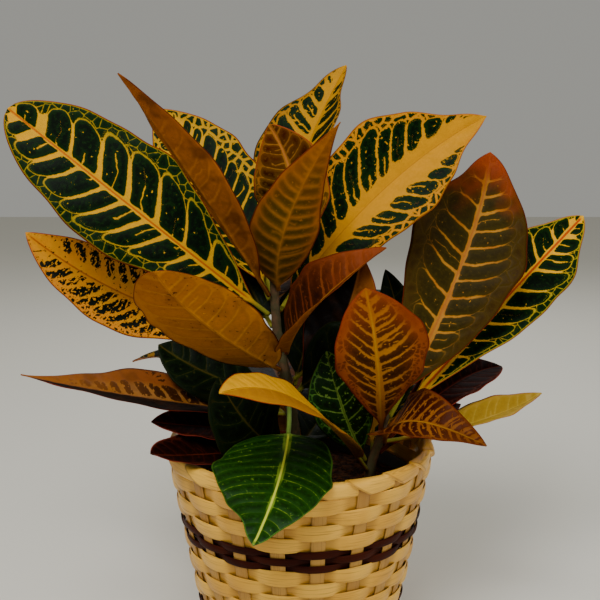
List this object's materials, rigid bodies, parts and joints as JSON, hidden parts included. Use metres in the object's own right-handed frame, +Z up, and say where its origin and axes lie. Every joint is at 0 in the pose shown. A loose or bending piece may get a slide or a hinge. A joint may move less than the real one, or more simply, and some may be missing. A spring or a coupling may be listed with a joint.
{
  "type": "potted croton",
  "caption": "Variegated croton shrub with broad patterned leaves on two stems, in a nursery pot inside a tapered woven bamboo basket.",
  "frame": {"origin": "centre of the basket's underside, on the surface it stands on", "axes": "+Z up along the basket's axis; -Y is the side of the plant seen from the front; +X to the right of that view"},
  "size_m": [0.398, 0.2548, 0.3815],
  "materials": {
    "bamboo_natural": "bare split bamboo, satin, straw coloured, fine long fibre grain",
    "bamboo_brown": "split bamboo dyed dark red-brown, satin",
    "pot_plastic": "moulded red-brown nursery pot plastic",
    "potting_soil": "loose crumbly peat and bark potting mix, dull",
    "stem_bark": "olive green to brown woody stem with leaf scars",
    "leaf_green": "leathery dark green leaf, waxy, yellow midrib and net of veins, red edge",
    "leaf_shade": "leathery very dark green leaf, waxy, thin pale veins",
    "leaf_yellow": "leathery golden yellow leaf, waxy, dark green blotches between the veins",
    "leaf_copper": "copper brown leaf underside, duller, raised veins",
    "leaf_olive": "leathery dark olive and red leaf, orange veins",
    "leaf_orange": "leathery orange leaf, dark stripes between the veins",
    "leaf_purple": "leathery dark purple-red leaf"
  },
  "bodies": {
    "root": {"basket_base": "bamboo_natural", "basket_rim": "bamboo_natural", "basket_wall": "bamboo_natural", "brown_weaver_lower_1": "bamboo_brown", "brown_weaver_lower_2": "bamboo_brown", "brown_weaver_lower_3": "bamboo_brown", "brown_weaver_upper_1": "bamboo_brown", "brown_weaver_upper_2": "bamboo_brown", "brown_weaver_upper_3": "bamboo_brown", "leaf_back_high_left": "leaf_green", "leaf_back_high_right": "leaf_green", "leaf_back_left": "leaf_yellow", "leaf_back_low": "leaf_copper", "leaf_back_low_left": "leaf_green", "leaf_back_low_right": "leaf_green", "leaf_back_middle": "leaf_orange", "leaf_back_right": "leaf_shade", "leaf_back_small": "leaf_yellow", "leaf_broad_left": "leaf_green", "leaf_broad_right": "leaf_yellow", "leaf_bronze_behind": "leaf_shade", "leaf_copper_centre": "leaf_copper", "leaf_copper_front": "leaf_copper", "leaf_copper_left": "leaf_copper", "leaf_copper_spear": "leaf_copper", "leaf_crown_inner": "leaf_shade", "leaf_dark_behind": "leaf_shade", "leaf_dark_centre": "leaf_shade", "leaf_dark_low": "leaf_shade", "leaf_dark_low_right": "leaf_purple", "leaf_dark_right": "leaf_purple", "leaf_green_front": "leaf_green", "leaf_green_right": "leaf_green", "leaf_inner_right": "leaf_shade", "leaf_left_low": "leaf_olive", "leaf_long_left": "leaf_copper", "leaf_olive_right": "leaf_olive", "leaf_orange_arch": "leaf_orange", "leaf_orange_upright": "leaf_orange", "leaf_purple_tip": "leaf_purple", "leaf_shade_front": "leaf_shade", "leaf_shade_left": "leaf_shade", "leaf_small_left_high": "leaf_purple", "leaf_small_left_low": "leaf_purple", "leaf_speckled_inner": "leaf_shade", "leaf_spotted_left": "leaf_yellow", "leaf_tall_left": "leaf_green", "leaf_top_yellow": "leaf_yellow", "leaf_yellow_arch": "leaf_yellow", "leaf_yellow_right": "leaf_yellow", "nursery_pot": "pot_plastic", "soil": "potting_soil", "stem_main": "stem_bark", "stem_side": "stem_bark"}
  },
  "joints": []
}
